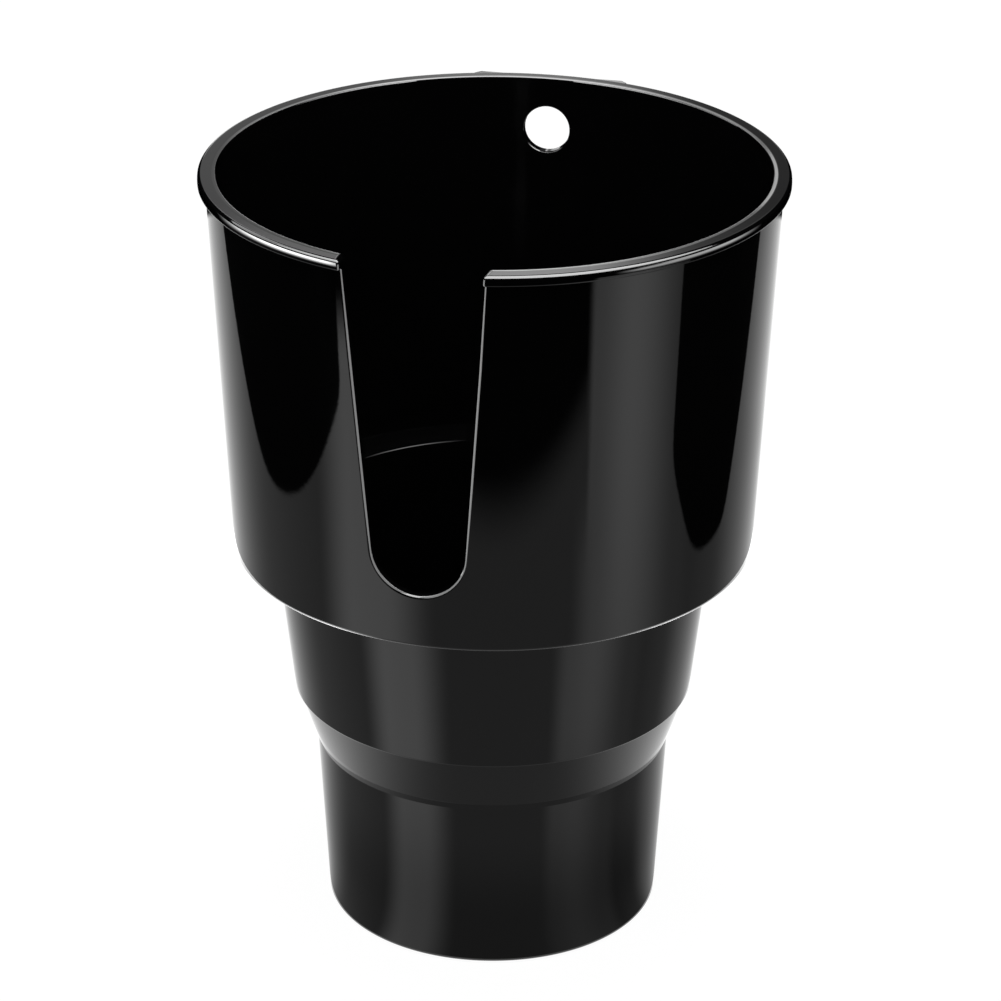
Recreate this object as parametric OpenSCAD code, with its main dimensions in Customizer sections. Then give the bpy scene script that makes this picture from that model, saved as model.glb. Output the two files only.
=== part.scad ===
// Cup holder adapter: a stepped cup in one moulded piece. The narrow stem drops into a small
// cup holder, and the wide cup above it takes a large mug or bottle.
// The origin is the centre of the base's underside, +Z is up, and the handle slot faces -Y.

/* [Stem and base] */
// Diameter of the flat base, which stands in the small cup holder
base_d = 65; // [60:0.5:70]
// How much the stem's radius grows from the base to its top
stem_flare = 2.1; // [0.5:0.1:3]
// Height of the stem, from the base to the band
stem_height = 36.2; // [28:0.2:46]
// Rounding of the base's outer edge
base_round = 1; // [0.5:0.1:1.6]

/* [Band under the neck] */
// Small ledge where the band hangs over the stem
band_lip = 0.3; // [0.2:0.05:0.6]
// How much the band's radius grows from its foot to its top
band_flare = 3.4; // [2:0.1:5]
// Height of the band
band_height = 10.3; // [6:0.1:16]

/* [Neck] */
// Small ledge where the neck hangs over the band
neck_lip = 0.5; // [0.4:0.05:0.8]
// How much the neck's radius grows from its foot to the cup
neck_flare = 3.5; // [1:0.1:4.5]
// Height of the neck, from the band to the underside of the cup
neck_height = 30.4; // [20:0.2:40]

/* [Cup] */
// Outer diameter of the cup wall at the rim
cup_d = 107.8; // [104:0.2:118]
// How much the cup's radius grows from its foot to the rim
cup_flare = 3.8; // [1:0.1:5]
// Height of the cup, from its underside to the top of the rim
cup_height = 75.5; // [66:0.5:100]
// Rounding of the outer edge at the cup's foot
shoulder_round = 0.8; // [0.4:0.1:1.5]

/* [Walls] */
// Thickness of the walls
wall = 2; // [1.6:0.1:2.6]
// Thickness of the base plate and of the ring at the bottom of the cup
floor_thick = 2.2; // [1.8:0.1:3]
// Rounding of the hollow's corners
hollow_round = 1.2; // [0.6:0.1:1.6]

/* [Rim] */
// How far the rim stands out past the cup wall
rim_overhang = 1.4; // [1:0.1:2.5]
// Height of the rim's outer face
rim_face = 1.9; // [1.5:0.1:3]
// Fall of the rim's top from its inner to its outer edge
rim_fall = 0.2; // [0.1:0.05:0.4]
// Rounding of the rim's edges
rim_round = 0.4; // [0.3:0.05:0.6]

/* [Handle slot] */
// Width of the slot at the rim
slot_mouth = 26.7; // [24:0.1:34]
// Radius of the slot's round bottom
slot_bottom_r = 9.1; // [7:0.1:10.5]
// Height of the slot's lowest point above the ring at the bottom of the cup
slot_sill = 8.1; // [4:0.1:16]
// Rounding of the slot's corners at the rim
slot_corner = 1.2; // [0.6:0.1:2]

/* [Rear hole and tab] */
// Diameter of the round hole in the rear wall
hole_d = 9.2; // [6:0.1:12]
// Distance from the top of the rim down to the centre of the hole
hole_drop = 10.4; // [9:0.1:20]
// Turn of the hole and the tab from the point straight across from the slot
rear_turn = 4.2; // [0:0.1:10]
// Width of the straight tab on the rim above the hole
tab_width = 29.4; // [20:0.2:36]
// How far the middle of the tab stands out past the rim
tab_overhang = 0.7; // [0.4:0.1:2]
// Size of the cut on each end of the tab
tab_corner = 1.2; // [0.6:0.1:1.8]
// Height of the tab's top below the rim's outer edge
tab_step = 0.5; // [0.3:0.05:0.7]
// Thickness of the tab
tab_thick = 0.9; // [0.6:0.05:1]

/* [Hidden] */
$fn = 96;
// Largest angle of one step on a rounded corner
round_step = 18;
// How far the slot's cutter reaches past the rounded corners of its mouth, and above the rim
cutter_reach = 3;
// Gap between the rim's top and the flat shoulders of the slot's cutter
cutter_gap = 0.05;

// Radii of the outer wall, from the base to the rim
base_r = base_d / 2;
stem_r = base_r + stem_flare;
band_foot_r = stem_r + band_lip;
band_top_r = band_foot_r + band_flare;
neck_foot_r = band_top_r + neck_lip;
neck_top_r = neck_foot_r + neck_flare;
cup_top_r = cup_d / 2;
cup_foot_r = cup_top_r - cup_flare;
rim_r = cup_top_r + rim_overhang;

// Heights of the steps
band_top_z = stem_height + band_height;
cup_foot_z = band_top_z + neck_height;
rim_z = cup_foot_z + cup_height;
rim_edge_z = rim_z - rim_fall;
rim_foot_z = rim_edge_z - rim_face;
ledge_z = cup_foot_z + floor_thick;

// Slope of the slot's sides: each side runs from the mouth to the round bottom and touches it
sill_z = ledge_z + slot_sill;
slot_centre_z = sill_z + slot_bottom_r;
side_run = rim_z - slot_centre_z;
side_reach = sqrt(side_run * side_run + slot_mouth * slot_mouth / 4);
side_angle = atan2(slot_mouth / 2, side_run) - asin(slot_bottom_r / side_reach);

hole_z = rim_z - hole_drop;

// Points of a corner rounded with radius r, where the outline comes from a and leaves to b.
// The arc starts and ends where it touches the two straight sides.
function unit(v) = v / norm(v);
function corner_points(a, p, b, r) =
    let (
        u = unit(a - p),
        v = unit(b - p),
        half = acos(max(-1, min(1, u * v))) / 2,
        turn = 180 - 2 * half,
        side = sign(u[0] * v[1] - u[1] * v[0]),
        centre = p + unit(u + v) * (r / sin(half)),
        start = p + u * (r / tan(half)) - centre,
        first = atan2(start[1], start[0]),
        steps = max(2, ceil(turn / round_step))
    )
    [for (i = [0 : steps])
        let (w = first - side * turn * i / steps)
        centre + r * [cos(w), sin(w)]];

// An outline with rounded corners: each entry is [x, y, radius], and radius 0 keeps the corner sharp
function rounded(list) =
    let (n = len(list))
    [for (i = [0 : n - 1])
        let (
            q = list[i],
            a = list[(i + n - 1) % n],
            b = list[(i + 1) % n]
        )
        for (c = q[2] > 0
            ? corner_points([a[0], a[1]], [q[0], q[1]], [b[0], b[1]], q[2])
            : [[q[0], q[1]]])
        c];

// Half of the wall's section, from the axis out along the base, up the outside, over the rim
// and down the inside to the base plate
module wall_section() {
    polygon(rounded([
        [0, 0, 0],
        [base_r, 0, base_round],
        [stem_r, stem_height, 0],
        [band_foot_r, stem_height, band_lip],
        [band_top_r, band_top_z, 0],
        [neck_foot_r, band_top_z, neck_lip],
        [neck_top_r, cup_foot_z, 0],
        [cup_foot_r, cup_foot_z, shoulder_round],
        [cup_top_r, rim_foot_z, 0],
        [rim_r, rim_foot_z, rim_round],
        [rim_r, rim_edge_z, rim_round],
        [cup_top_r - wall, rim_z, rim_round],
        [cup_foot_r - wall, ledge_z, hollow_round],
        [neck_top_r - wall, ledge_z, hollow_round],
        [neck_foot_r - wall, band_top_z, hollow_round],
        [stem_r - wall, stem_height, hollow_round],
        [base_r - wall, floor_thick, hollow_round],
        [0, floor_thick, 0]
    ]));
}

// Front view of the handle slot: straight sides that spread towards the rim, a round bottom and
// rounded corners at the mouth
module slot_outline() {
    half = slot_mouth / 2;
    spread = slot_corner + cutter_reach;
    touch = slot_bottom_r * [cos(side_angle), -sin(side_angle)];
    circle(r = slot_bottom_r);
    polygon(rounded([
        [-touch[0], touch[1], 0],
        [touch[0], touch[1], 0],
        [half, side_run, slot_corner],
        [half + spread, side_run + cutter_gap, 0],
        [half + spread, side_run + cutter_reach, 0],
        [-half - spread, side_run + cutter_reach, 0],
        [-half - spread, side_run + cutter_gap, 0],
        [-half, side_run, slot_corner]
    ]));
}

// The space cut out for a mug's handle, open at the rim and through the front wall only
module handle_slot() {
    translate([0, -cup_foot_r / 2, slot_centre_z])
        rotate([90, 0, 0])
            linear_extrude(cup_foot_r)
                slot_outline();
}

// The round hole through the rear wall
module rear_hole() {
    translate([0, cup_foot_r / 2, hole_z])
        rotate([-90, 0, 0])
            cylinder(d = hole_d, h = cup_foot_r);
}

// Straight-edged tab that widens the rim above the hole, with its two ends cut at a slant
module rear_tab() {
    half = tab_width / 2;
    reach = rim_r + tab_overhang;
    root = cup_top_r - wall / 2;
    root_y = sqrt(root * root - half * half);
    translate([0, 0, rim_edge_z - tab_step - tab_thick])
        linear_extrude(tab_thick)
            difference() {
                polygon([
                    [-half, root_y - wall],
                    [half, root_y - wall],
                    [half, reach - tab_corner],
                    [half - tab_corner, reach],
                    [-half + tab_corner, reach],
                    [-half, reach - tab_corner]
                ]);
                circle(r = root);
            }
}

module holder_body() {
    color([0.03, 0.03, 0.032])
        difference() {
            union() {
                rotate_extrude()
                    wall_section();
                rotate([0, 0, rear_turn])
                    rear_tab();
            }
            handle_slot();
            rotate([0, 0, rear_turn])
                rear_hole();
        }
}

holder_body();
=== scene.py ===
from math import asin, atan2, cos, degrees, hypot, pi, radians, sin, tan

import bpy
import numpy as np
from mathutils import Matrix


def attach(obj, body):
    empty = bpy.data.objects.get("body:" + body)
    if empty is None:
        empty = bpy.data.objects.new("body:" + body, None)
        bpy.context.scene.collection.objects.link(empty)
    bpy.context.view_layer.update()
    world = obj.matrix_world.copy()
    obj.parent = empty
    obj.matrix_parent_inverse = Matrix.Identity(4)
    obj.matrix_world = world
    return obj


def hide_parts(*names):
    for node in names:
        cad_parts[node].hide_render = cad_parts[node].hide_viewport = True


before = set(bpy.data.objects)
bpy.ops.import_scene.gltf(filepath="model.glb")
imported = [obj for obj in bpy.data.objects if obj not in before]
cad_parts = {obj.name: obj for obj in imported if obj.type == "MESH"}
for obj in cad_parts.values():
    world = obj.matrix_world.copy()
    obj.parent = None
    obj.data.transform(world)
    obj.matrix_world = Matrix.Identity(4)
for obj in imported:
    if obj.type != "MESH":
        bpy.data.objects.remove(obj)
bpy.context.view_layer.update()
mm = 0.001  # the shapes below are worked out in millimetres, the scene is in metres
print("frame loaded:", sorted(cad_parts))


def linked(name, data):
    # New object at the origin for a camera, a light or a mesh
    obj = bpy.data.objects.new(name, data)
    bpy.context.scene.collection.objects.link(obj)
    return obj


camera = {
    "place": (189.55, -678.9, 409.55),  # mm, in the part's frame
    "turn": 15.489,  # degrees to the left of +Y
    "pitch": 24.786,  # degrees below the horizon
    "roll": 0.27,  # degrees about its own axis
    "lens": 144.556,  # mm
    "sensor": 36.0,  # mm
    "clip": (0.01, 50),  # metres
}


def makeCamera(c):
    data = bpy.data.cameras.new("camera")
    data.sensor_fit = "HORIZONTAL"
    data.sensor_width = c["sensor"]
    data.lens = c["lens"]
    data.clip_start, data.clip_end = c["clip"]
    turn = Matrix.Rotation(radians(c["turn"]), 4, "Z")
    pitch = Matrix.Rotation(radians(90 - c["pitch"]), 4, "X")
    roll = Matrix.Rotation(radians(c["roll"]), 4, "Z")
    obj = linked("camera", data)
    obj.matrix_world = Matrix.Translation([v * mm for v in c["place"]]) @ (turn @ pitch @ roll)
    bpy.context.scene.camera = obj


makeCamera(camera)
print("camera placed")

nearlyFlat = 0.9999  # largest cosine of the turn at an edge, so that its sine is never 0


def unit(v):
    # Vectors divided by their lengths
    return v / np.linalg.norm(v, axis=-1, keepdims=True)


def gridPatch(points, normals, keep=None):
    # One quad between each four neighbours of a grid of points, turned to face the way its
    # normals point. A quad faces along the cross product of its two diagonals.
    rows, cols = points.shape[:2]
    index = np.arange(rows * cols).reshape(rows, cols)
    quads = np.stack([index[:-1, :-1], index[:-1, 1:], index[1:, 1:], index[1:, :-1]], -1)
    quads = quads[keep] if keep is not None else quads.reshape(-1, 4)
    p, n = points.reshape(-1, 3), normals.reshape(-1, 3)
    across = np.cross(p[quads[:, 2]] - p[quads[:, 0]], p[quads[:, 3]] - p[quads[:, 1]])
    inward = (across * n[quads].sum(1)).sum(-1) < 0
    quads[inward] = quads[inward][:, ::-1]
    return p, n, quads


def mirrored(patch):
    # The same patch on the other side of the plane x = 0, its quads turned back to face outwards
    p, n, quads = patch
    return p * [-1, 1, 1], n * [-1, 1, 1], quads[:, ::-1]


def turned(patches, angle):
    # Patches turned about the Z axis by an angle in degrees: (x cos - y sin, x sin + y cos, z)
    c, s = cos(radians(angle)), sin(radians(angle))
    spin = np.array([[c, s, 0], [-s, c, 0], [0, 0, 1]])
    return [(p @ spin, n @ spin, quads) for p, n, quads in patches]


def weldedMesh(name, patches, digits=4):
    # Joins patches: points in mm that agree to so many digits after the decimal point become one
    # point, and a quad that loses a corner by it becomes a triangle
    starts = np.cumsum([0] + [len(p) for p, n, q in patches])
    points = np.concatenate([p for p, n, q in patches])
    normals = unit(np.concatenate([n for p, n, q in patches]))
    quads = np.concatenate([q + s for (p, n, q), s in zip(patches, starts)])
    near = np.round(points, digits) + 0.0  # adding 0.0 makes -0.0 the same as 0.0
    first, same = np.unique(near, axis=0, return_index=True, return_inverse=True)[1:]
    quads = same.reshape(-1)[quads]
    double = quads == np.roll(quads, -1, axis=1)
    whole = quads[~double.any(1)]
    thin = double.sum(1) == 1
    corners = quads[thin][~double[thin]]
    used, order = np.unique(np.concatenate([whole.ravel(), corners]), return_inverse=True)
    order = order.reshape(-1)
    faces = order[:whole.size].reshape(-1, 4).tolist() + order[whole.size:].reshape(-1, 3).tolist()
    mesh = bpy.data.meshes.new(name)
    mesh.from_pydata((points[first][used] * mm).tolist(), [], faces)
    mesh.shade_smooth()
    mesh.normals_split_custom_set_from_vertices(normals[first][used].tolist())
    return linked(name, mesh)


def roundedPath(corners):
    # Outline through corners [x, y, rounding, arc steps, rows to the next corner]. A rounded corner
    # becomes an arc that touches both of its sides and starts rounding x tan(half the bend) before
    # the corner. The normals point to the right of the way along the outline.
    p = np.array([c[:2] for c in corners], float)
    way = unit(p[1:] - p[:-1])
    points, normals, gap = [], [], 1
    for i, (rounding, steps, rows) in enumerate(c[2:] for c in corners):
        if 0 < i < len(p) - 1:
            a, b = way[i - 1], way[i]
            bend = atan2(a[0] * b[1] - a[1] * b[0], a @ b)
            side = np.array([a[1], -a[0]])
            centre = p[i] - a * rounding * abs(tan(bend / 2)) - side * rounding * np.sign(bend)
            w = np.linspace(0, bend, steps + 1)[:, None]
            n = side * np.cos(w) + a * np.sin(w)
            arc = centre + n * rounding * np.sign(bend)
        else:
            a = way[min(i, len(way) - 1)]
            n = np.array([[a[1], -a[0]]])
            arc = p[i][None]
        if gap > 1:
            f = np.linspace(0, 1, gap + 1)[1:-1, None]
            points.append(points[-1][-1] + f * (arc[0] - points[-1][-1]))
            normals.append(np.repeat(n[:1], gap - 1, 0))
        points.append(arc)
        normals.append(n)
        gap = rows
    return np.concatenate(points), np.concatenate(normals)


def setBack(edge, n1, n2, size):
    # Where the rounding of an edge between two surfaces starts on the first one: away from the
    # edge, along that surface, by size x tan(half the turn between their normals)
    cosTurn = np.clip((n1 * n2).sum(-1, keepdims=True), -1, nearlyFlat)
    turn = np.arccos(cosTurn)
    return edge - (n2 - cosTurn * n1) / np.sin(turn) * size * np.tan(turn / 2)


def roundedEdge(start, n1, n2, size, steps):
    # Arc from the first surface to the second: the normal turns evenly from n1 to n2, and the
    # point stays size away along it from a centre that lies size below the start
    turn = np.arccos(np.clip((n1 * n2).sum(-1), -1, nearlyFlat))[:, None, None]
    w = np.linspace(0, 1, steps + 1)[None, :, None]
    n = (np.sin((1 - w) * turn) * n1[:, None] + np.sin(w * turn) * n2[:, None]) / np.sin(turn)
    return start[:, None] + size * (n - n1[:, None]), n


def around(section, sectionN, turn):
    # Points and normals of a section (r, z) turned about the Z axis, one row of turns for each of
    # its points: (r sin t, -r cos t, z), with t = 0 at the handle slot
    s, c = np.sin(turn), np.cos(turn)
    return [np.stack([r * s, -r * c, z + 0 * s], -1)
            for r, z in (section.T[..., None], sectionN.T[..., None])]


def axesAt(turn):
    # At a turn in degrees round from the slot: the directions along the wall, outwards and up
    s, c = sin(radians(turn)), cos(radians(turn))
    return np.array([[c, s, 0], [s, -c, 0], [0, 0, 1]])


shell = {
    # Corners of the section in mm: r, z, rounding, arc steps, rows to the next corner
    "outside": [
        [0, 0, 0, 0, 7],
        [32.5, 0, 1.0, 7, 9],
        [34.6, 36.2, 0.06, 2, 1],
        [34.9, 36.2, 0.3, 4, 4],
        [38.3, 46.5, 0.06, 2, 1],
        [38.8, 46.5, 0.5, 6, 9],
        [42.3, 76.7, 0.25, 3, 3],
        [50.06, 76.65, 0.75, 8, 4],
    ],
    "rim": [
        [53.9, 150.3, 0.3, 3, 1],
        [55.27, 150.3, 0.35, 5, 1],
        [55.3, 151.3, 5.0, 4, 1],
        [55.24, 151.95, 0.5, 5, 1],
        [54.85, 152.33, 0.7, 5, 1],
        [52.8, 152.375, 5.0, 6, 1],
        [51.87, 152.31, 0.25, 8, 15],
    ],
    "inside": [
        [48.1, 79.1, 0.4, 4, 3],
        [40.3, 79.1, 0.4, 6, 7],
        [36.8, 46.5, 1.2, 3, 3],
        [32.6, 36.2, 1.2, 3, 7],
        [30.5, 2.2, 1.2, 5, 5],
        [0, 2.2, 0, 0, 0],
    ],
    "insideRows": 3,  # from the slot's foot down to the first corner inside
    "outerWall": [(50.1, 76.9), (53.9, 150.3)],  # two points (r, z) of each side of the cup's wall
    "innerWall": [(48.1, 79.1), (51.9, 152.4)],
    "columns": 320,
    "edge": 0.65,  # rounding of the slot's edge on the wall
    "rimEdge": 0.4,  # and on the rim
    "holeEdge": 0.4,
    "edgeSteps": 8,
    "turn": -0.3,  # degrees that the whole piece is turned, to where the photograph has the slot
}

slot = {
    "bottomRadius": 8.8,
    "centre": 96.1,  # height of the round bottom's centre
    "mouth": 26.5,  # width at the rim's top, before its corners are rounded
    "rimTop": 152.4,
    "corner": 1.2,  # rounding of the mouth's corners
    "bottomRows": 14,
    "sideRows": 9,
}

hole = {
    "radius": 4.6,
    "z": 142.0,
    "turn": 184.4,  # degrees round from the slot
    "block": (133.6, 149.2),  # heights of the patch of wall that carries the hole
    "blockRows": 12,
    "halfWidth": 8.4,  # of that patch
    "rings": 6,
    "boreRows": 2,
}


def onWall(wall, z):
    # Points (r, z) of a cone wall at heights z, on the line through its two given points
    (r0, z0), (r1, z1) = wall
    return np.stack([r0 + (z - z0) * (r1 - r0) / (z1 - z0), z], -1)


def wallNormal(wall, side):
    # (r, z) normal of a cone wall, side 1 outside and -1 inside
    (r0, z0), (r1, z1) = wall
    length = hypot(r1 - r0, z1 - z0)
    return side * (z1 - z0) / length, side * (r0 - r1) / length


def slotTouch(s):
    # Lean of the slot's straight side from upright, and the point (x, z) where it touches the
    # round bottom: the side's slant less the angle that the bottom takes up seen from the mouth
    half, rise = s["mouth"] / 2, s["rimTop"] - s["centre"]
    lean = atan2(half, rise) - asin(s["bottomRadius"] / hypot(half, rise))
    return lean, s["bottomRadius"] * cos(lean), s["centre"] - s["bottomRadius"] * sin(lean)


def slotEdge(s, z):
    # Half width of the slot at heights z, and the way (x, z) its side faces there: a circle, then
    # a straight side that touches it, then a small arc that turns out over the rim
    radius, corner = s["bottomRadius"], s["corner"]
    lean, touchX, touchZ = slotTouch(s)
    arcZ = s["rimTop"] - corner
    arcX = touchX + (arcZ - touchZ) * tan(lean) + corner / cos(lean)
    b = np.arcsin(np.clip((z - arcZ) / corner, sin(lean), 1))
    low = np.sqrt(np.maximum(radius**2 - (z - s["centre"])**2, 0))
    straight, arc = touchX + (z - touchZ) * tan(lean), arcX - corner * np.cos(b)
    onCircle, onArc = z < touchZ, z > arcZ + corner * sin(lean)
    x = np.where(onCircle, low, np.where(onArc, arc, straight))
    faceX = np.where(onCircle, -low / radius, -np.cos(b))
    faceZ = np.where(onCircle, (s["centre"] - z) / radius, np.sin(b))
    return x, np.stack([faceX, 0 * x, faceZ], -1)


def cutRows(shell, slot, hole):
    # The rows that the slot cuts, up the outer wall, over the rim and down the inner wall. Their
    # heights are even steps round the slot's bottom, along its sides, and past the rear hole.
    outer, inner = shell["outerWall"], shell["innerWall"]
    lean, _, touchZ = slotTouch(slot)
    low, high = hole["block"]
    t = np.linspace(0, pi / 2 - lean, slot["bottomRows"] + 1)
    wallZ = np.concatenate([
        slot["centre"] - slot["bottomRadius"] * np.cos(t),
        np.linspace(touchZ, low, slot["sideRows"] + 1)[1:],
        np.linspace(low, high, hole["blockRows"] + 1)[1:],
    ])
    count = len(wallZ)
    ends = [[*onWall(wall, high), 0, 0, 1] for wall in (outer, inner)]
    rim, rimN = [part[1:-1] for part in roundedPath(ends[:1] + shell["rim"] + ends[1:])]
    wallN = [np.repeat([wallNormal(*w)], count, 0) for w in ((outer, 1), (inner, -1))]
    rows = np.concatenate([onWall(outer, wallZ), rim, onWall(inner, wallZ)[::-1]])
    rowsN = np.concatenate([wallN[0], rimN, wallN[1]])

    # Where the rounding of the slot's edge starts on each row, as a turn from the slot's middle
    (r, z), (nr, nz) = rows.T, rowsN.T
    x, facing = slotEdge(slot, z)
    y = -np.sqrt(r**2 - x**2)
    size = np.interp(z, (low, high), (shell["edge"], shell["rimEdge"]))[:, None]
    n = np.stack([nr * x / r, nr * y / r, nz], -1)
    start = setBack(np.stack([x, y, z], -1), n, facing, size)
    turn = np.arctan2(start[:, 0], -start[:, 1])
    rows[:count] = onWall(outer, start[:count, 2])
    rows[-count:] = onWall(inner, start[-count:, 2])
    return rows, rowsN, turn, facing, size, count


def slotSides(edge, edgeN, facing, size, steps):
    # Rounded edge on the right of the slot, and the flat cut face between each row and the same row
    # counted from the other end, up to the middle of the rim's crown. Then the same on the left.
    strip, stripN = roundedEdge(edge, edgeN, facing, size[:, None], steps)
    half = (len(strip) + 1) // 2
    face, faceN = [np.stack([a[:half], a[::-1][:half]], 1) for a in (strip[:, -1], facing)]
    right = [gridPatch(strip, stripN), gridPatch(face, faceN)]
    return right + [mirrored(p) for p in right]


def blockBorder(row0, row1, col0, col1):
    # Rows and columns of the grid's points round the border of a block, back to where it starts
    wide, tall = np.zeros(col1 - col0, int), np.zeros(row1 - row0, int)
    rows = [row0 + wide, np.arange(row0, row1), row1 + wide, np.arange(row1, row0, -1), [row0]]
    cols = [np.arange(col0, col1), col1 + tall, np.arange(col1, col0, -1), col0 + tall, [col0]]
    return np.concatenate(rows), np.concatenate(cols)


def holeSides(shell, hole, borders):
    # On each wall, rings run evenly from the border of the open block to the hole's rounded edge,
    # and the bore joins the two edges. Worked out in x along the wall, y outwards and z up.
    axes = axesAt(hole["turn"])
    a = np.arctan2(borders[0][:, 2] - hole["z"], borders[0] @ axes[0])
    hx, hz = hole["radius"] * np.cos(a), hole["z"] + hole["radius"] * np.sin(a)
    boreN = np.stack([-np.cos(a), 0 * a, -np.sin(a)], -1)

    def onCone(wall, side, x, z):
        r = onWall(wall, z)[..., 0]
        y = np.sqrt(r**2 - x**2)
        nr, nz = wallNormal(wall, side)
        return np.stack([x, y, z], -1), np.stack([x / r * nr, y / r * nr, nz + 0 * x], -1)

    patches, ends = [], []
    w = np.linspace(0, 1, hole["rings"] + 1)[:, None]
    size = shell["holeEdge"]
    for wall, side, border in zip((shell["outerWall"], shell["innerWall"]), (1, -1), borders):
        begin = setBack(*onCone(wall, side, hx, hz), boreN, size)
        bx, bz = border @ axes[0], border[:, 2]
        gx, gz = bx + w * (begin[:, 0] - bx), bz + w * (begin[:, 2] - bz)
        ring, ringN = [part @ axes for part in onCone(wall, side, gx, gz)]
        ring[0] = border
        lip, lipN = roundedEdge(ring[-1], ringN[-1], boreN @ axes, size, shell["edgeSteps"])
        patches += [gridPatch(ring, ringN), gridPatch(lip, lipN)]
        ends.append(lip[:, -1])
    w = np.linspace(0, 1, hole["boreRows"] + 1)[:, None, None]
    bore = ends[0] + w * (ends[1] - ends[0])
    return patches + [gridPatch(bore, np.repeat((boreN @ axes)[None], len(bore), 0))]


def makeShell(shell, slot, hole):
    # The whole section, from the middle of the base up the outside, over the rim and down to the
    # middle of the floor. Each row of it runs round from one side of the slot to the other.
    rows, rowsN, turn, facing, size, count = cutRows(shell, slot, hole)
    outside, outsideN = roundedPath(shell["outside"] + [[*rows[0], 0, 0, 0]])
    inside, insideN = roundedPath([[*rows[-1], 0, 0, shell["insideRows"]]] + shell["inside"])
    section = np.concatenate([outside[:-1], rows, inside[1:]])
    sectionN = np.concatenate([outsideN[:-1], rowsN, insideN[1:]])
    cut = slice(len(outside) - 1, len(outside) - 1 + len(rows))
    gap = np.zeros((len(section), 1))
    gap[cut, 0] = turn
    angle = gap + np.linspace(0, 1, shell["columns"] + 1) * (2 * pi - 2 * gap)
    points, normals = around(section, sectionN, angle)

    # Block of each wall that gives way to the hole. Row i outside faces row far - i inside.
    highRow = cut.start + count - 1
    lowRow = highRow - hole["blockRows"]
    far = cut.start + cut.stop - 1
    off = np.abs(angle[(lowRow + highRow) // 2] - radians(hole["turn"])) * section[lowRow, 0]
    cols = np.flatnonzero(off < hole["halfWidth"])[[0, -1]]
    keep = np.ones((len(section) - 1, shell["columns"]), bool)
    keep[lowRow:highRow, cols[0]:cols[1]] = False
    keep[far - highRow:far - lowRow, cols[0]:cols[1]] = False
    borderRows, borderCols = blockBorder(lowRow, highRow, *cols)
    borders = points[borderRows, borderCols], points[far - borderRows, borderCols]

    patches = slotSides(points[cut, 0], normals[cut, 0], facing, size, shell["edgeSteps"])
    return patches + holeSides(shell, hole, borders) + [gridPatch(points, normals, keep)]


tab = {
    "halfWidth": 15.4,
    "back": 52.2,  # mm from the axis, hidden inside the rim
    "front": 55.94,
    "corner": 1.2,  # size of the cut on each end
    "z": (150.8, 151.7),
    "turn": 184.4,  # degrees round from the slot
    "cornerRound": 0.35,
    "cornerSteps": 4,
    "rows": (6, 3, 1, 12, 1, 3, 6),  # along its sides, from the middle of the back to the right
    "edge": 0.2,  # rounding of its upper and lower edge
    "edgeSteps": 3,
    "flatRows": 2,
}


def makeTab(t):
    # Flat plate: its outline, with rounded corners, is carried round a section of flat, arc, side,
    # arc and flat. On an arc it lies edge x (1 - sin w) inside and edge x (1 - cos w) off the flat.
    half, back, front, cut = t["halfWidth"], t["back"], t["front"], t["corner"]
    ring = [(half, back), (half, front - cut), (half - cut, front)]
    ring += [(-x, y) for x, y in ring[::-1]]
    corners = [[0, back, 0, 0, t["rows"][0]]]
    corners += [[x, y, t["cornerRound"], t["cornerSteps"], rows]
                for (x, y), rows in zip(ring, t["rows"][1:])]
    outline, outlineN = roundedPath(corners + [[0, back, 0, 0, 0]])
    low, high = t["z"]
    w = np.linspace(0, pi / 2, t["edgeSteps"] + 1)
    w, up = np.concatenate([w, w[::-1]])[:, None], np.repeat([-1, 1], len(w))[:, None]
    z = np.where(up < 0, low, high) - up * t["edge"] * (1 - np.cos(w))

    def placed(xy, height):
        height = np.broadcast_to(height, xy.shape[:2])
        return np.concatenate([xy, height[..., None]], -1) @ axesAt(t["turn"])

    xy = outline - outlineN * (t["edge"] * (1 - np.sin(w)))[..., None]
    patches = [gridPatch(placed(xy, z), placed(outlineN * np.sin(w)[..., None], up * np.cos(w)))]
    f = np.linspace(0, 1, t["flatRows"] + 1)[:, None, None]
    for edge, level, way in ((xy[0], low, -1), (xy[-1], high, 1)):
        flat = edge + f * ([0, (back + front) / 2] - edge)
        patches.append(gridPatch(placed(flat, level), placed(0 * flat, way)))
    return patches


patches = makeShell(shell, slot, hole) + makeTab(tab)
holder = weldedMesh("holderShell", turned(patches, shell["turn"]))
print("holder built:", len(holder.data.vertices), "points,", len(holder.data.polygons), "faces")


def addNode(tree, kind, **settings):
    node = tree.nodes.new(kind)
    for key, value in settings.items():
        setattr(node, key, value)
    return node


def wire(tree, value, socket):
    # A socket takes either a link from another node or a plain number or colour
    if isinstance(value, bpy.types.NodeSocket):
        tree.links.new(value, socket)
    elif value is not None:
        socket.default_value = value


def calc(tree, operation, *values):
    node = addNode(tree, "ShaderNodeMath", operation=operation)
    for value, socket in zip(values, node.inputs):
        wire(tree, value, socket)
    return node.outputs[0]


def times(tree, first, *others):
    for other in others:
        first = calc(tree, "MULTIPLY", first, other)
    return first


def added(tree, level, part, amount):
    # level + part x amount
    return calc(tree, "MULTIPLY_ADD", part, amount, level)


def dimmed(tree, level, part):
    # level x (1 - part)
    return times(tree, level, calc(tree, "SUBTRACT", 1.0, part))


def ramp(tree, value, start, end, low=0.0, high=1.0):
    # Smooth step from low at start to high at end; start may be above end
    node = addNode(tree, "ShaderNodeMapRange", interpolation_type="SMOOTHSTEP")
    if start > end:
        start, end, low, high = end, start, high, low
    for v, socket in zip((value, start, end, low, high), node.inputs):
        wire(tree, v, socket)
    return node.outputs["Result"]


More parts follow.
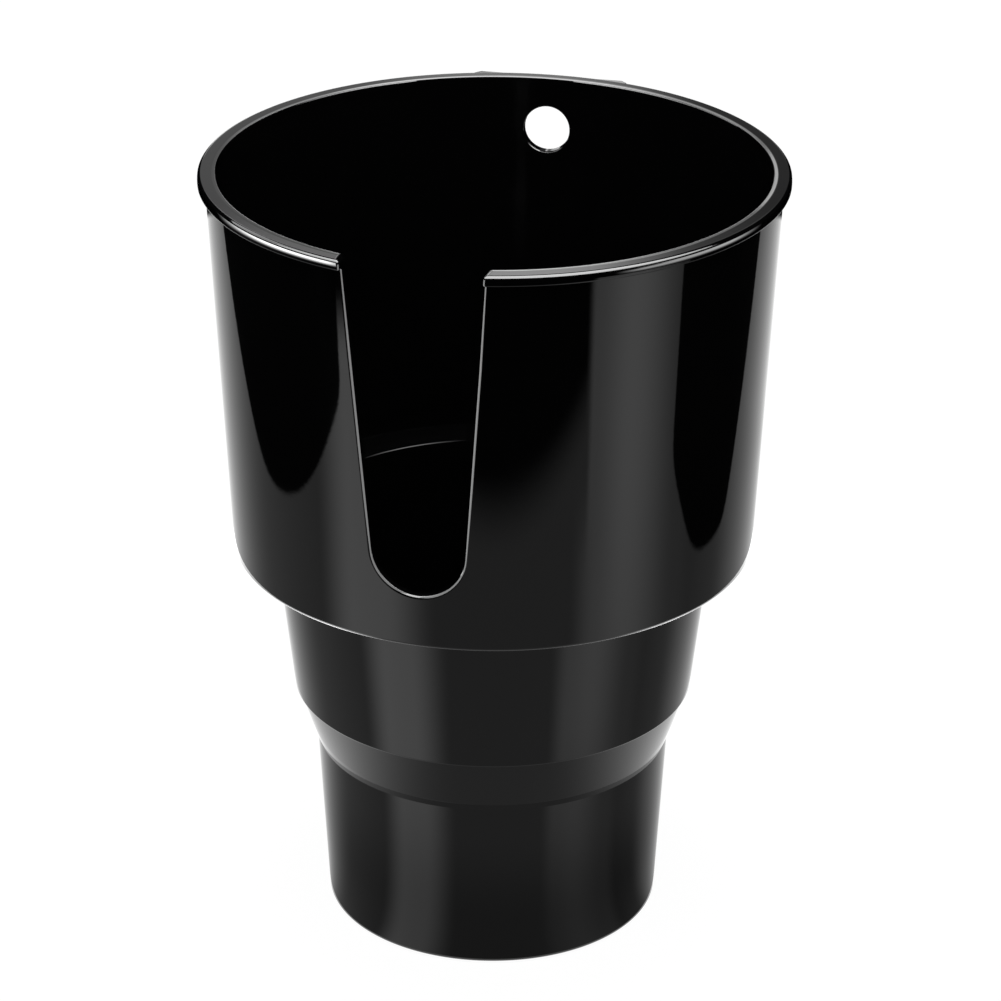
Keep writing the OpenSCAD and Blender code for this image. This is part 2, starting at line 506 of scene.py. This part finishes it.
def band(tree, value, start, full, fade, end):
    # 1 from full to fade, with a smooth step down to 0 at start and at end
    return times(tree, ramp(tree, value, start, full), ramp(tree, value, end, fade))


plastic = {
    "colour": (0.0028, 0.0028, 0.0030, 1.0),
    "paler": (0.0042, 0.0042, 0.0044, 1.0),
    "cloud": (38, 4),  # scale per metre and detail of the mottling between the two colours
    "rub": (55, 6),  # and of the change in roughness
    "rubEdges": (0.35, 0.7),  # noise between which the roughness grows
    "roughness": (0.02, 0.045),
    "ior": 1.5,
    "wave": (22.0, 1),  # slow waves of the moulded walls
    "waveDepth": 0.00004,  # metres
    "grain": (900.0, 2),
    "grainDepth": 0.0000015,
}


def makePlastic(s):
    # Glossy black: two blacks mixed by noise, roughness by a second noise, and two bumps, of slow
    # waves and of fine grain, one on top of the other
    material = bpy.data.materials.new("glossBlackPlastic")
    material.use_nodes = True
    tree = material.node_tree
    shader = tree.nodes["Principled BSDF"]
    place = addNode(tree, "ShaderNodeTexCoord").outputs["Object"]

    def noise(name):
        node = addNode(tree, "ShaderNodeTexNoise")
        wire(tree, place, node.inputs["Vector"])
        node.inputs["Scale"].default_value, node.inputs["Detail"].default_value = s[name]
        return node.outputs["Fac"]

    def bump(height, depth, normal):
        node = addNode(tree, "ShaderNodeBump")
        node.inputs["Distance"].default_value = depth
        wire(tree, height, node.inputs["Height"])
        wire(tree, normal, node.inputs["Normal"])
        return node.outputs["Normal"]

    colour = addNode(tree, "ShaderNodeMix", data_type="RGBA")  # colours on sockets 6 and 7
    wire(tree, noise("cloud"), colour.inputs[0])
    wire(tree, s["colour"], colour.inputs[6])
    wire(tree, s["paler"], colour.inputs[7])
    wire(tree, colour.outputs[2], shader.inputs["Base Color"])
    rub = ramp(tree, noise("rub"), *s["rubEdges"], *s["roughness"])
    wire(tree, rub, shader.inputs["Roughness"])
    shader.inputs["IOR"].default_value = s["ior"]
    waves = bump(noise("wave"), s["waveDepth"], None)
    wire(tree, bump(noise("grain"), s["grainDepth"], waves), shader.inputs["Normal"])
    return material


holder.data.materials.append(makePlastic(plastic))
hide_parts("holder_body")
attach(holder, "root")
print("plastic made")

studioFront = 15.6  # degrees that the studio's front is turned from the slot's side


def blankTree(owner):
    # Empty node tree of a new material or world
    owner.use_nodes = True
    owner.node_tree.nodes.clear()
    return owner.node_tree


def glowing(name, strength=0.0):
    # Material that gives off an even light; with strength 0 it is black
    material = bpy.data.materials.new(name)
    tree = blankTree(material)
    light = addNode(tree, "ShaderNodeEmission")
    out = addNode(tree, "ShaderNodeOutputMaterial")
    wire(tree, light.outputs[0], out.inputs["Surface"])
    return glowBy(material, strength)


def glowBy(material, strength):
    # Sets a glowing material's strength to a number, or to what other nodes of its tree work out
    tree = material.node_tree
    wire(tree, strength, tree.nodes["Emission"].inputs["Strength"])
    return material


def stagePiece(name, points, faces, material):
    mesh = bpy.data.meshes.new(name)
    mesh.from_pydata(points, [], faces)
    mesh.materials.append(material)
    obj = linked(name, mesh)
    return obj


def reflectedPiece(name, points, faces, material):
    # A light or a screen that is seen only in reflections
    obj = stagePiece(name, points, faces, material)
    for rays in ("camera", "diffuse", "transmission", "shadow", "volume_scatter"):
        setattr(obj, "visible_" + rays, False)


def card(name, corners, material):
    # Flat four-sided card that is seen only in reflections, its corners in metres
    reflectedPiece(name, corners, [[0, 1, 2, 3]], material)


def quadStrip(first, second, closed=False):
    # Quads between two rows of points, which close to a ring if asked
    i = np.arange(len(first) if closed else len(first) - 1)
    j = (i + 1) % len(first)
    faces = np.stack([i, j, j + len(first), i + len(first)], -1)
    return np.concatenate([first, second]).tolist(), faces.tolist()


def disc(inner, outer, z, steps=96):
    # Flat ring about the Z axis between two radii: (r cos t, r sin t, z)
    t = np.linspace(0, 2 * pi, steps, endpoint=False)
    circle = np.stack([np.cos(t), np.sin(t), 0 * t], -1)
    return quadStrip(circle * outer + [0, 0, z], circle * inner + [0, 0, z], closed=True)


def arcPoints(radius, z, turns):
    # Points about the Z axis at turns in degrees from the studio's front to the right:
    # (r sin t, -r cos t, z)
    t = np.radians(turns + studioFront)
    return np.stack([radius * np.sin(t), -radius * np.cos(t), z + 0 * t], -1)


def seenRays(tree):
    # 1 for camera, glossy and transmission rays, 0 for the rays that light dull surfaces
    path = addNode(tree, "ShaderNodeLightPath").outputs
    first = calc(tree, "MAXIMUM", path["Is Camera Ray"], path["Is Glossy Ray"])
    return calc(tree, "MAXIMUM", first, path["Is Transmission Ray"])


studio = {
    "floorLight": 0.96,  # part of the floor's white that no shadow takes away
    "floorColour": (0.12, 0.12, 0.12, 1),
    "floor": (0.0, 12.0, -0.0001),  # inner and outer radius, and height, in metres
    "world": 0.3,  # light from all round on dull surfaces
    "lampSize": 1.4,  # metres
    "lampHeight": 1.9,
    "lampWatts": 10.0,
}


def makeFloor(s):
    # White to the camera and in reflections, and grey to the lamp, which leaves a soft shadow
    material = glowing("paleFloor")
    tree = material.node_tree
    glowBy(material, times(tree, seenRays(tree), s["floorLight"]))
    dull = addNode(tree, "ShaderNodeBsdfDiffuse")
    dull.inputs["Color"].default_value = s["floorColour"]
    both = addNode(tree, "ShaderNodeAddShader")
    wire(tree, tree.nodes["Emission"].outputs[0], both.inputs[0])
    wire(tree, dull.outputs[0], both.inputs[1])
    wire(tree, both.outputs[0], tree.nodes["Material Output"].inputs["Surface"])
    stagePiece("floor", *disc(*s["floor"]), material)


def makeWorld(s):
    # White to the camera and in reflections, and a weaker light on dull surfaces, with one lamp
    world = bpy.data.worlds.new("studio")
    bpy.context.scene.world = world
    tree = blankTree(world)
    light = addNode(tree, "ShaderNodeBackground")
    light.inputs["Color"].default_value = (1, 1, 1, 1)
    wire(tree, calc(tree, "MAXIMUM", seenRays(tree), s["world"]), light.inputs["Strength"])
    out = addNode(tree, "ShaderNodeOutputWorld")
    wire(tree, light.outputs[0], out.inputs["Surface"])
    lamp = bpy.data.lights.new("softbox", "AREA")
    lamp.shape = "DISK"
    lamp.size = s["lampSize"]
    lamp.energy = s["lampWatts"]
    obj = linked("softbox", lamp)
    obj.location = (0, 0, s["lampHeight"])
    obj.visible_glossy = False


makeFloor(studio)
makeWorld(studio)


def studioPlace(tree):
    # Place in mm with the studio's front towards -y: x and y
    turn = addNode(tree, "ShaderNodeMapping")
    turn.inputs["Rotation"].default_value = (0, 0, radians(-studioFront))
    turn.inputs["Scale"].default_value = (1 / mm, 1 / mm, 1 / mm)
    wire(tree, addNode(tree, "ShaderNodeTexCoord").outputs["Object"], turn.inputs["Vector"])
    split = addNode(tree, "ShaderNodeSeparateXYZ")
    wire(tree, turn.outputs[0], split.inputs[0])
    return split.outputs[0], split.outputs[1]


def distance(tree, x, y):
    # From the part's axis: the square root of x squared + y squared
    return calc(tree, "SQRT", calc(tree, "ADD", times(tree, x, x), times(tree, y, y)))


def direction(tree, x, y):
    # Angle in radians from the studio's front to the right
    return calc(tree, "ARCTAN2", x, times(tree, y, -1.0))


reflector = {
    # Directions are in degrees from the front, right of it above 0, and distances in mm from the
    # axis. Four numbers are where a band starts, is full, starts to fade and ends, or the start and
    # end of a change and its value at each.
    "disc": (0.033, 3.0, 0.0004),  # radii and height in metres
    "bend": 26.0,  # mm by which directions close to the part are bent outwards
    "base": (44, 75, 0.18, 0.29),  # light at a distance, before anything is added
    "leftLight": (-24, -48, -62, -80),
    "leftAdds": (50, 100, 0.55, 0.9),
    "rightLight": (38.6, 41.4, 57, 84),
    "rightSoft": (32.6, 44.4),  # its start close to the part, less sharp
    "rightSharp": (190, 250),  # distances between which its start becomes sharp
    "rightAdds": (40, 110, 0.08, 0.42),
    "rightSlow": (60, 280, 0.05, 0.42),  # added on the second, slow half of its rise
    "rightDip": (82, 94, 106, 122),
    "dipAdds": -0.09,
    "backLight": (108, 166),  # on both sides
    "backAdds": 0.8,
    "backShare": (230, 270, 0.8, 1.0),  # its share on the right
    "leftSide": (2, -2),  # directions between which the left side's share grows from 0 to 1
    # Dark panels: sides (x, y, offset), with the panel where x and y give more than the offset
    "leftPanel": [(-1, 0, 221.5), (-0.952, -0.305, 195), (-0.981, 0.194, 210.2),
                  (-0.395, 0.919, -30.4)],
    "rightPanel": [(1, 0, 194.5), (0.818, -0.575, 124.5), (0.822, 0.57, 153),
                   (0.1625, 0.9867, -31)],
    "panelCorner": 16,  # rounding of a panel's corners
    "panelEdge": (2, -2, 0.01, 1.0),  # depth in the panel, and the light left inside and outside
    "frontDark": (206, 248),  # mm to the front between which it gets dark
    "frontDarkEnds": (40.2, 37.4),  # on both sides
    "cornerDark": (-74, -66),  # takes the left light off the wall under the rim, beside the slot
    "cornerDarkRing": (298, 338),
    "ringEnd": (386, 380),  # distances between which all light but the glows goes out
    # Glow for the rim's outer face: band of directions, band of distances, strength
    "glows": [
        ((-128, -84, -66, -56), (376, 660, 1400, 1700), 26.0),
        ((45, 60, 92, 120), (396, 590, 700, 760), 6.5),
    ],
}


def makeReflector(s):
    # Reflector on the floor: its light depends on the direction round the part, which is bent by
    # bend x sine / distance, and on the distance. Lights are added to an even base, then dark
    # panels, a dark front and corner are taken out of it, and the outer glows are added last.
    material = glowing("reflector")
    tree = material.node_tree
    x, y = studioPlace(tree)
    r = distance(tree, x, y)
    angle = direction(tree, x, y)
    bend = calc(tree, "DIVIDE", times(tree, calc(tree, "SINE", angle), s["bend"]), r)
    turn = calc(tree, "DEGREES", calc(tree, "ADD", angle, bend))
    away = calc(tree, "ABSOLUTE", turn)
    left = ramp(tree, turn, *s["leftSide"])

    level = ramp(tree, r, *s["base"])
    level = added(tree, level, band(tree, turn, *s["leftLight"]), ramp(tree, r, *s["leftAdds"]))
    start, full, fade, end = s["rightLight"]
    soft = ramp(tree, turn, *s["rightSoft"])
    change = calc(tree, "SUBTRACT", ramp(tree, turn, start, full), soft)
    rise = added(tree, soft, ramp(tree, r, *s["rightSharp"]), change)
    slow = times(tree, ramp(tree, turn, full, fade), ramp(tree, r, *s["rightSlow"]))
    rise = added(tree, slow, rise, ramp(tree, r, *s["rightAdds"]))
    level = added(tree, level, rise, ramp(tree, turn, end, fade))
    level = added(tree, level, band(tree, turn, *s["rightDip"]), s["dipAdds"])
    share = calc(tree, "MAXIMUM", left, ramp(tree, r, *s["backShare"]))
    back = times(tree, ramp(tree, away, *s["backLight"]), share)
    level = added(tree, level, back, s["backAdds"])

    for sides in (s["leftPanel"], s["rightPanel"]):
        depths = [added(tree, added(tree, -offset, y, sy), x, sx) for sx, sy, offset in sides]
        depth = depths[0]
        for other in depths[1:]:
            depth = calc(tree, "SMOOTH_MIN", depth, other, s["panelCorner"])
        level = times(tree, level, ramp(tree, depth, *s["panelEdge"]))
    ahead = ramp(tree, times(tree, y, -1.0), *s["frontDark"])
    level = dimmed(tree, level, times(tree, ahead, ramp(tree, away, *s["frontDarkEnds"])))
    corner = times(tree, ramp(tree, turn, *s["cornerDark"]), ramp(tree, r, *s["cornerDarkRing"]))
    level = dimmed(tree, level, times(tree, corner, left))
    level = times(tree, level, ramp(tree, r, *s["ringEnd"]))
    for directions, distances, strength in s["glows"]:
        glow = times(tree, band(tree, r, *distances), band(tree, turn, *directions))
        level = added(tree, level, glow, strength)
    reflectedPiece("reflector", *disc(*s["disc"]), glowBy(material, level))


overhead = {
    # Cards above the part in metres: x from and to, y from and to, height; then strength
    "topLight": (-2.9, 2.7, -1.9, 0.46, 1.5, 15.0),
    "sideLight": (-2.9, -0.7, 0.47, 1.6, 1.5, 3.5),  # fainter one beyond it on the left
    # mm to the side between which the top light changes, and its share at each
    "leftFade": (-2800, -400, 0.12, 1.0),
    "rightFade": (2500, 600, 0.0, 1.0),
}


def makeOverhead(s):
    # Flat cards turned with the studio: (x cos - y sin, x sin + y cos)
    c, d = cos(radians(studioFront)), sin(radians(studioFront))
    for name in ("topLight", "sideLight"):
        x0, x1, y0, y1, z, strength = s[name]
        corners = [(x * c - y * d, x * d + y * c, z)
                   for x, y in ((x0, y0), (x1, y0), (x1, y1), (x0, y1))]
        material = glowing(name, strength)
        if name == "topLight":
            tree = material.node_tree
            x = studioPlace(tree)[0]
            fades = ramp(tree, x, *s["leftFade"]), ramp(tree, x, *s["rightFade"])
            glowBy(material, times(tree, *fades, strength))
        card(name, corners, material)


backWall = {
    # Black wall round the studio with a pale stretch at the back
    "radius": 2.95,  # metres
    "height": 4.2,
    "columns": 96,
    "ends": (165.5, 166.5),  # degrees from the front, on both sides, where the stretch begins
    # mm to the side between which its light changes, and its share at each
    "leftFade": (-160, -20, 0.5, 1.0),
    "rightFade": (250, 60, 0.15, 1.0),
    # Its light by height in metres: steps from one height to the next, and the light above each
    "steps": [(0.0, 0.01, 3.0), (0.86, 0.96, 0.8), (1.3, 1.45, 1.8), (1.5, 1.6, 4.8),
              (1.8, 1.9, 0.0)],
    # Spot for the rim's inner edge on the right: band in mm to the side, band of heights, strength
    "spot": ((-20, 20, 120, 170), (1.08, 1.14, 1.28, 1.34), 1.6),
}


def makeBackWall(s):
    # Upright cylinder: its light is a product of the two fades and the sum of the steps, plus the
    # spot, and only on the stretch at the back
    material = glowing("studioWall")
    tree = material.node_tree
    x, y = studioPlace(tree)
    split = addNode(tree, "ShaderNodeSeparateXYZ")
    wire(tree, addNode(tree, "ShaderNodeTexCoord").outputs["Object"], split.inputs[0])
    z, byHeight, before = split.outputs[2], 0.0, 0.0
    for start, end, light in s["steps"]:
        byHeight = added(tree, byHeight, ramp(tree, z, start, end), light - before)
        before = light
    level = times(tree, ramp(tree, x, *s["leftFade"]), ramp(tree, x, *s["rightFade"]), byHeight)
    sideways, heights, strength = s["spot"]
    spot = times(tree, band(tree, x, *sideways), band(tree, z, *heights))
    level = added(tree, level, spot, strength)
    away = calc(tree, "ABSOLUTE", calc(tree, "DEGREES", direction(tree, x, y)))
    glowBy(material, times(tree, level, ramp(tree, away, *s["ends"])))
    turns = np.linspace(-180, 180, s["columns"] + 1)[:-1]
    foot, top = arcPoints(s["radius"], 0.0, turns), arcPoints(s["radius"], s["height"], turns)
    reflectedPiece("studioWall", *quadStrip(foot, top, closed=True), material)


def arcCard(name, shape, material, steps=24):
    # Card round the part in mm between two radii and two heights, from one turn to another
    r0, r1, z0, z1, start, end = shape
    turns = np.linspace(start, end, steps + 1)
    first, second = arcPoints(r0, z0, turns) * mm, arcPoints(r1, z1, turns) * mm
    reflectedPiece(name, *quadStrip(first, second), material)


ledge = {
    # Glow under a black cover, over the inner edge of the ring at the cup's bottom
    "radii": (37.0, 41.0),
    "z": 82.0,
    "turns": (187, 203, 218),  # degrees where it starts, is full and ends
    "strength": 3.5,
    "cover": (0.5, 0.1, 1),  # wider and higher than the glow in mm, and longer in degrees
    # Black screens: radii, heights and turns. One stands between the glow and the wall, the other
    # lies over the rim's inner edge at the back.
    "screens": {
        "ledgeShade": (41.9, 41.9, 79.4, 83.2, 165, 232),
        "rearShade": (30.0, 54.5, 158.0, 158.0, 164.5, 195.5),
    },
}


def makeLedge(s):
    # Level cards: the glow is a band of turns, and the screens and the cover are black
    (inner, outer), z, (start, full, end) = s["radii"], s["z"], s["turns"]
    material = glowing("ledgeGlow")
    tree = material.node_tree
    turn = calc(tree, "DEGREES", direction(tree, *studioPlace(tree)))
    turn = calc(tree, "FLOORED_MODULO", turn, 360.0)
    glowBy(material, times(tree, band(tree, turn, start, full, full, end), s["strength"]))
    arcCard("ledgeGlow", (inner, outer, z, z, start, end), material)
    wider, above, longer = s["cover"]
    cover = inner - wider, outer + wider, z + above, z + above, start - longer, end + longer
    arcCard("ledgeCover", cover, glowing("ledgeCover"))
    for name, shape in s["screens"].items():
        arcCard(name, shape, glowing(name))


slotLights = {
    # In mm. Black door on the slot's inner side: half width, distance from the axis, heights
    "door": (13.0, 47.6, 88.0, 151.5),
    # Cards in front of the slot that light its edges, back to back: distances from the axis and
    # heights, then the name, x and strength of each
    "cards": (51.5, 90.0, 88.5, 153.0),
    "pair": [("slotCardLeft", -0.3, 5.0), ("slotCardRight", 0.3, 5.5)],
}


def makeSlotLights(s):
    # Upright flat cards: one across the slot, and two along the plane x = 0
    half, y, low, high = [v * mm for v in s["door"]]
    corners = [(-half, -y, low), (half, -y, low), (half, -y, high), (-half, -y, high)]
    card("slotDoor", corners, glowing("slotDoor"))
    near, far, low, high = [v * mm for v in s["cards"]]
    for name, side, strength in s["pair"]:
        x = side * mm
        corners = [(x, -near, low), (x, -far, low), (x, -far, high), (x, -near, high)]
        card(name, corners, glowing(name, strength))


# Black shade across all but the front of the cup, which keeps the top light off the corners at its
# bottom
cupShade = {
    "radius": 47,
    "z": 100,
    "start": -30,  # y of its straight front edge, with the studio's front towards -y
    "points": 33,
}


def makeCupShade(s):
    # Level disc cut off straight at the front
    lean = degrees(asin(s["start"] / s["radius"]))
    turns = np.linspace(90 + lean, 270 - lean, s["points"])
    points = (arcPoints(s["radius"], s["z"], turns) * mm).tolist()
    reflectedPiece("shade", points, [list(range(len(points)))], glowing("shade"))


# Rings close under the cup and under the band, for the thin light lines on their lower edges. Turns
# are in degrees from the front, and four numbers are two turns or distances and the light at each.
cupRing = {
    "disc": (42.9, 51.3, 76.1),  # radii and height
    "step": (45.9, 46.1),  # distances between which it turns from black to light
    "front": (8, 34, 0.35, 0.85),  # on both sides
    "left": (-23, -40),  # where the stronger light begins
    "right": (25, 47),
    "ends": (56, 34, 0.35, 1.0),  # its share towards the ends, on both sides
    "strength": 4.2,
}

bandRing = {
    "disc": (34.8, 47.0, 34.8),
    "step": (35.85, 35.65),  # distances between which the inner light sets in
    "left": (-12, -70, 0.3, 1.18),
    "right": (18, 76, 0.3, 1.18),
    "innerLeft": (-42, -60),
    "innerRight": (56, 70),
    "strength": 0.2,  # of the inner light
}


def ringPlace(tree):
    # Distance in mm, turn in degrees and turn without its sign
    x, y = studioPlace(tree)
    turn = calc(tree, "DEGREES", direction(tree, x, y))
    return distance(tree, x, y), turn, calc(tree, "ABSOLUTE", turn)


def eitherSide(tree, turn, left, right):
    return calc(tree, "MAXIMUM", ramp(tree, turn, *left), ramp(tree, turn, *right))


def makeCupRing(s):
    # The front's light plus the stronger light of the sides, and nothing inside the step
    material = glowing("cupRing")
    tree = material.node_tree
    r, turn, away = ringPlace(tree)
    sides = eitherSide(tree, turn, s["left"], s["right"])
    sides = times(tree, sides, ramp(tree, away, *s["ends"]))
    level = added(tree, ramp(tree, away, *s["front"]), sides, s["strength"])
    glowBy(material, times(tree, level, ramp(tree, r, *s["step"])))
    reflectedPiece("cupRing", *disc(*[v * mm for v in s["disc"]]), material)


def makeBandRing(s):
    # A light that grows to both sides, plus the inner light inside the step
    material = glowing("bandRing")
    tree = material.node_tree
    r, turn, _ = ringPlace(tree)
    inner = eitherSide(tree, turn, s["innerLeft"], s["innerRight"])
    inner = times(tree, inner, ramp(tree, r, *s["step"]))
    level = eitherSide(tree, turn, s["left"], s["right"])
    glowBy(material, added(tree, level, inner, s["strength"]))
    reflectedPiece("bandRing", *disc(*[v * mm for v in s["disc"]]), material)


makeReflector(reflector)
makeOverhead(overhead)
makeBackWall(backWall)
makeLedge(ledge)
makeSlotLights(slotLights)
makeCupShade(cupShade)
makeCupRing(cupRing)
makeBandRing(bandRing)
print("studio lit")

bpy.context.scene.view_settings.view_transform = "Standard"
